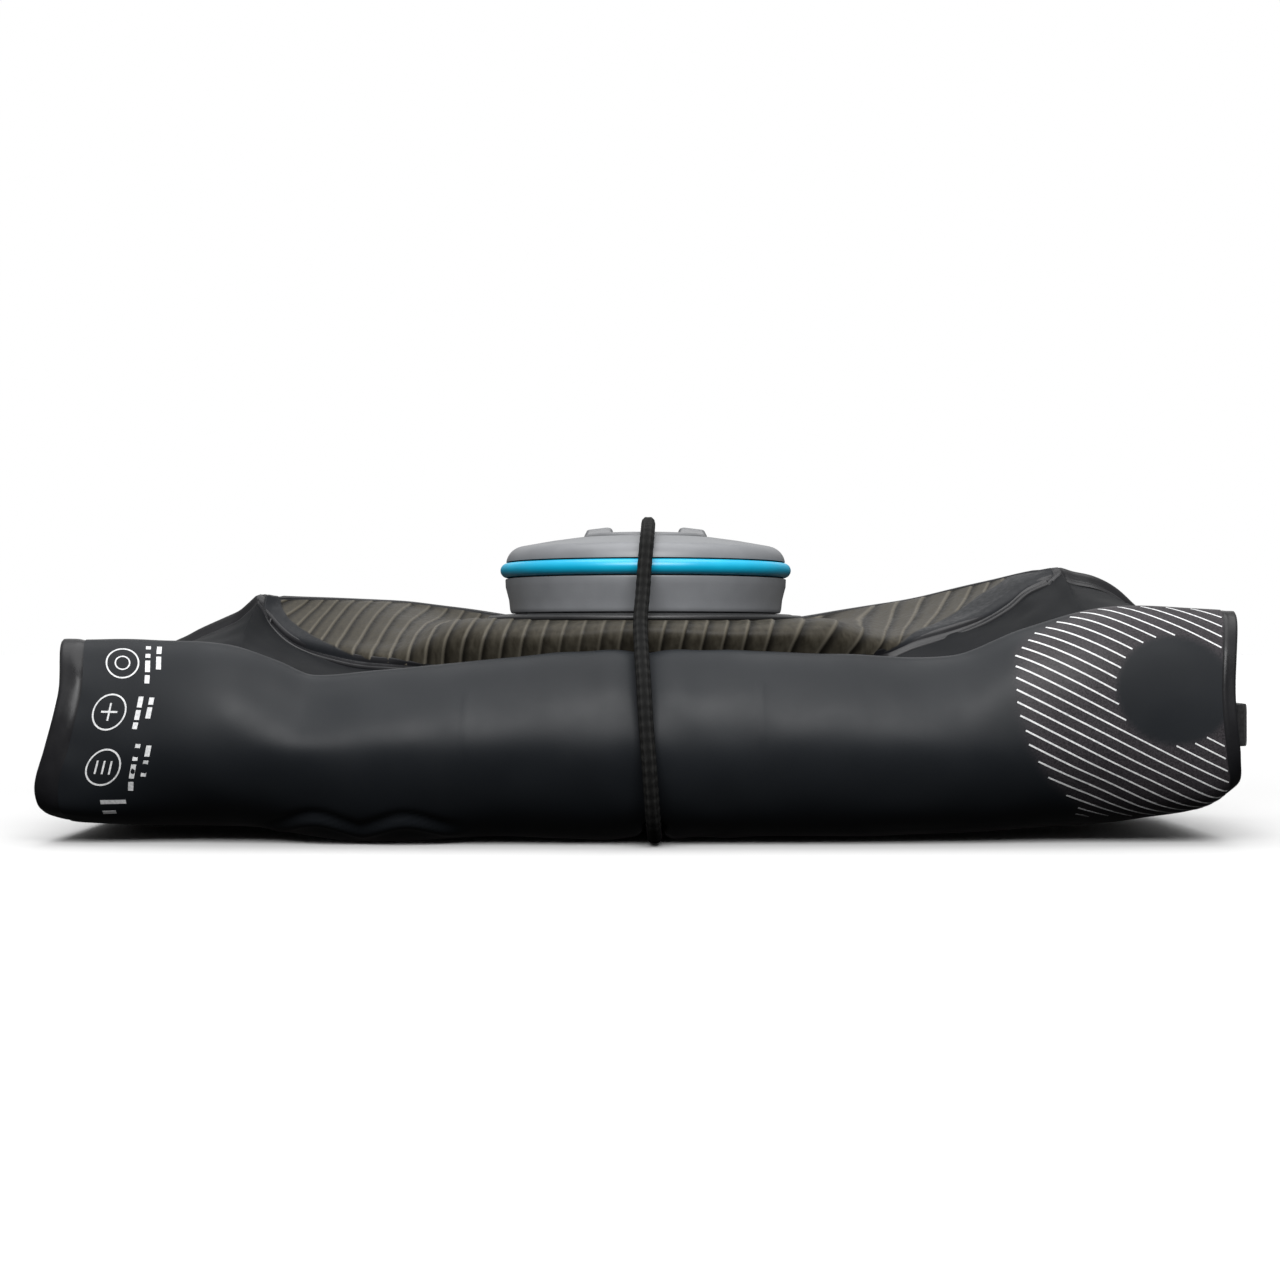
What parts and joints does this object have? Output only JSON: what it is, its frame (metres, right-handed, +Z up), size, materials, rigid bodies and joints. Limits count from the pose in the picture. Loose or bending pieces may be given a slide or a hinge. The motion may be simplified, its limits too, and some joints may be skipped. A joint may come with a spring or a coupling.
{
  "type": "hydration bladder",
  "caption": "Soft water bladder with a wide screw cap, rolled up under the cap and held packed by an elastic cord loop.",
  "frame": {"origin": "middle of the packed bundle's box, on the surface that the bundle lies on", "axes": "+Z up out of the cap, +X along the roll towards the striped end, -Y out of the front of the roll"},
  "size_m": [0.2811, 0.1193, 0.0767],
  "materials": {
    "front_film": "satin charcoal coated film",
    "back_film": "satin near-black coated film",
    "ribbed_film": "dark bronze film with welded ribs",
    "weld_band": "glossy black welded edge",
    "soft_black": "soft black moulded film grade",
    "spout_grey": "fine matte moulding",
    "cap_grey": "fine spark-eroded grey moulding",
    "plug_grey": "fine matte dark grey moulding",
    "band_blue": "satin blue silicone",
    "seal_black": "black silicone",
    "cord_black": "braided cover over elastic core",
    "ferrule_metal": "crimped dull aluminium",
    "webbing_black": "black woven webbing"
  },
  "bodies": {
    "bag": {"front_panel": "front_film", "back_panel": "back_film", "top_gusset": "ribbed_film", "gusset_weld_rear": "weld_band", "gusset_weld_front": "weld_band", "side_weld_left": "weld_band", "side_weld_right": "weld_band", "bottom_weld": "weld_band", "neck_flange": "soft_black", "neck_spout": "spout_grey", "shock_cord": "cord_black", "cord_ferrule": "ferrule_metal", "cord_keeper": "webbing_black", "lash_patch": "soft_black"},
    "cap_seal": {"cap_gasket": "seal_black"},
    "cap": {"cap_shell": "cap_grey", "grip_band": "band_blue"},
    "plug": {"port_plug": "plug_grey", "plug_oring": "seal_black"},
    "lash": {"lash_loop": "webbing_black"}
  },
  "joints": [
    {"name": "cap_lift", "type": "slide", "parent": "bag", "child": "cap_seal", "axis": [0, 0, 1], "range_m": [0, 0.006], "deforming": ["shock_cord"]},
    {"name": "cap_turn", "type": "hinge", "parent": "cap_seal", "child": "cap", "pos_m": [-0.0013, 0.003, 0.0657], "axis": [0, 0, 1], "range_deg": [0, 540], "deforming": ["shock_cord"]},
    {"name": "plug_turn", "type": "hinge", "parent": "cap", "child": "plug", "pos_m": [-0.0013, 0.003, 0.0707], "axis": [0, 0, 1], "range_deg": [0, 45]},
    {"name": "lash_swing", "type": "hinge", "parent": "bag", "child": "lash", "pos_m": [0.1386, -0.001, 0.0265], "axis": [0, 0, 1], "range_deg": [0, 80]}
  ],
  "couplings": [
    {"joint": "cap_lift", "follows": "cap_turn", "m_per_rad": 0.0006366}
  ]
}
